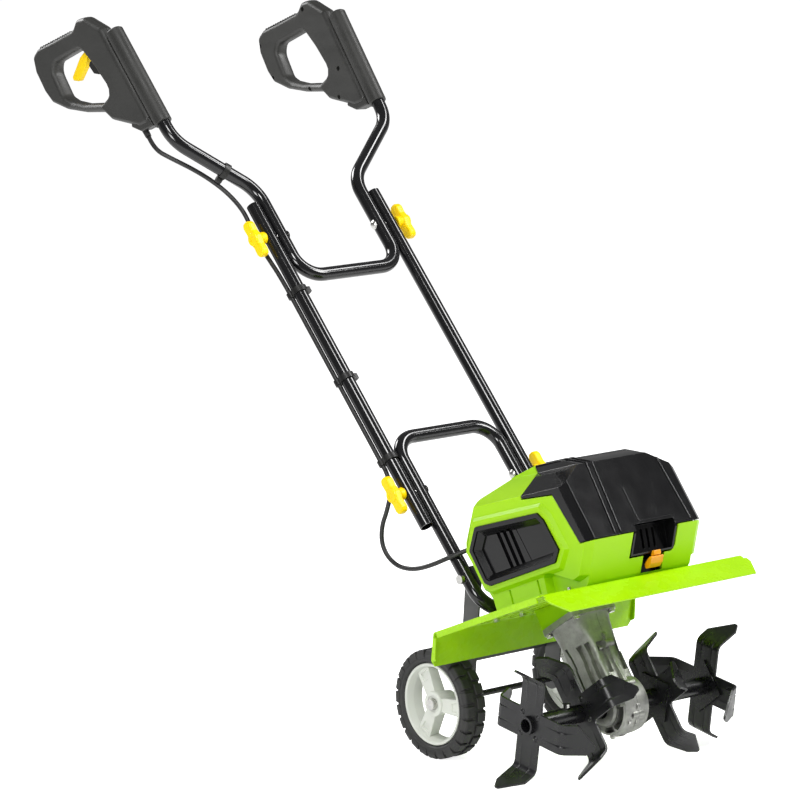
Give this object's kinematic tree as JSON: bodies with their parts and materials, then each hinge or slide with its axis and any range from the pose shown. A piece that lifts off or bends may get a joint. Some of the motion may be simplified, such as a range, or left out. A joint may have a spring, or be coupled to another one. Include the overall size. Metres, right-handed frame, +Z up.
{
  "type": "tiller",
  "caption": "Battery garden tiller with a folding two-grip handle, tines ahead of a sheet deck, a plastic motor housing and a pair of transport wheels behind",
  "frame": {"origin": "on the ground under the middle of the whole machine", "axes": "+Z up, -Y forward over the tines, +Y back to the operator, X across"},
  "size_m": [0.5122, 1.2748, 1.1524],
  "materials": {
    "black_tube": "gloss powder coat",
    "zinc": "zinc plated",
    "bronze": "plain bronze",
    "grey_steel": "satin dark grey",
    "black_sheet": "satin black",
    "green_plastic": "satin lime green",
    "green_paint": "gloss lime green",
    "black_plastic": "fine texture",
    "gloss_black": "gloss black",
    "cast_aluminium": "cast",
    "tine_paint": "satin black",
    "rim_plastic": "off white",
    "tyre_rubber": "block tread",
    "yellow_plastic": "satin yellow",
    "grip_plastic": "soft touch dark grey",
    "cable_rubber": "matt sheath"
  },
  "bodies": {
    "chassis": {"lower_frame": "black_tube", "frame_bolts": "zinc", "frame_clamps": "zinc", "deck_bolts": "zinc", "wheel_bracket": "grey_steel", "wheel_axle": "zinc", "axle_nuts": "zinc", "fender": "green_paint", "housing_base": "green_plastic", "side_vents": "black_plastic", "battery_packs": "black_plastic", "controller": "black_plastic", "motor_body": "zinc", "gearbox_left": "cast_aluminium", "gearbox_right": "cast_aluminium", "gearbox_screws": "zinc", "gearbox_spacer": "green_plastic", "shaft_bearings": "bronze", "shaft_seals": "cable_rubber", "housing_gland": "cable_rubber", "cover_hinge_pin": "zinc"},
    "mast": {"middle_tube_left": "black_tube", "middle_tube_right": "black_tube", "cable_clips": "black_plastic", "cable_middle": "cable_rubber", "cable_loop": "cable_rubber"},
    "upper_handle": {"upper_handle": "black_tube", "upper_knob_bolts": "zinc", "grip_left_inner": "grip_plastic", "grip_left_outer": "grip_plastic", "grip_right_inner": "grip_plastic", "grip_right_outer": "grip_plastic", "grip_screws": "zinc", "switch_box": "black_plastic", "grip_gland": "cable_rubber", "cable_upper": "cable_rubber", "upper_clip": "black_plastic"},
    "tine_rotor": {"tine_shaft": "zinc", "worm_wheel": "bronze", "hub_tubes": "black_sheet", "tine_star_outer_left": "tine_paint", "tine_star_inner_left": "tine_paint", "tine_star_inner_right": "tine_paint", "tine_star_outer_right": "tine_paint", "tine_rivets": "zinc", "hub_bolts": "zinc"},
    "worm_rotor": {"worm_shaft": "zinc", "motor_rotor": "zinc"},
    "wheel_left": {"wheel_rim_left": "rim_plastic", "tyre_left": "tyre_rubber"},
    "wheel_right": {"wheel_rim_right": "rim_plastic", "tyre_right": "tyre_rubber"},
    "cover": {"battery_cover": "gloss_black"},
    "latch_body": {"latch": "yellow_plastic"},
    "knob_a": {"knob_lower_left": "yellow_plastic"},
    "knob_b": {"knob_lower_right": "yellow_plastic"},
    "knob_c": {"knob_upper_left": "yellow_plastic"},
    "knob_d": {"knob_upper_right": "yellow_plastic"},
    "trigger_body": {"trigger": "yellow_plastic"},
    "lock_body": {"lock_lever": "black_plastic"}
  },
  "joints": [
    {"name": "mast_fold", "type": "hinge", "parent": "chassis", "child": "mast", "pos_m": [0, -0.1868, 0.4113], "axis": [1, 0, 0], "range_deg": [0, 105], "deforming": ["cable_loop"]},
    {"name": "upper_fold", "type": "hinge", "parent": "mast", "child": "upper_handle", "pos_m": [0, 0.14615, 0.79431], "axis": [1, 0, 0], "range_deg": [-150, 0], "deforming": ["cable_upper"]},
    {"name": "knob_lower_left_turn", "type": "hinge", "parent": "chassis", "child": "knob_a", "pos_m": [-0.13905, -0.1868, 0.4113], "axis": [1, 0, 0], "continuous": true},
    {"name": "knob_lower_right_turn", "type": "hinge", "parent": "chassis", "child": "knob_b", "pos_m": [0.13905, -0.1868, 0.4113], "axis": [1, 0, 0], "continuous": true},
    {"name": "knob_upper_left_turn", "type": "hinge", "parent": "upper_handle", "child": "knob_c", "pos_m": [-0.13905, 0.14615, 0.79431], "axis": [1, 0, 0], "continuous": true},
    {"name": "knob_upper_right_turn", "type": "hinge", "parent": "upper_handle", "child": "knob_d", "pos_m": [0.13905, 0.14615, 0.79431], "axis": [1, 0, 0], "continuous": true},
    {"name": "trigger_pull", "type": "hinge", "parent": "upper_handle", "child": "trigger_body", "pos_m": [-0.23797, 0.47904, 1.08814], "axis": [0.9989, 0.0312, 0.0359], "range_deg": [0, 11], "stiffness_Nm_per_rad": 0.25, "springref_deg": -17.19},
    {"name": "lock_press", "type": "hinge", "parent": "upper_handle", "child": "lock_body", "pos_m": [-0.23599, 0.44515, 1.06266], "axis": [0.9989, 0.0312, 0.0359], "range_deg": [0, 7], "stiffness_Nm_per_rad": 0.25, "springref_deg": -17.19},
    {"name": "cover_open", "type": "hinge", "parent": "chassis", "child": "cover", "pos_m": [0, -0.43221, 0.47032], "axis": [-1, 0, 0], "range_deg": [0, 50]},
    {"name": "latch_release", "type": "hinge", "parent": "chassis", "child": "latch_body", "pos_m": [0.024, -0.58035, 0.32393], "axis": [1, 0, 0], "range_deg": [0, 40]},
    {"name": "tine_spin", "type": "hinge", "parent": "chassis", "child": "tine_rotor", "pos_m": [0, -0.5265, 0.1], "axis": [1, 0, 0], "continuous": true},
    {"name": "worm_spin", "type": "hinge", "parent": "chassis", "child": "worm_rotor", "pos_m": [0, -0.5044, 0.0863], "axis": [0, 0.527, 0.8499], "continuous": true},
    {"name": "wheel_left_spin", "type": "hinge", "parent": "chassis", "child": "wheel_left", "pos_m": [-0.145, -0.2722, 0.088], "axis": [1, 0, 0], "continuous": true},
    {"name": "wheel_right_spin", "type": "hinge", "parent": "chassis", "child": "wheel_right", "pos_m": [0.145, -0.2722, 0.088], "axis": [1, 0, 0], "continuous": true}
  ],
  "couplings": [
    {"joint": "worm_spin", "follows": "tine_spin", "ratio": 20}
  ]
}
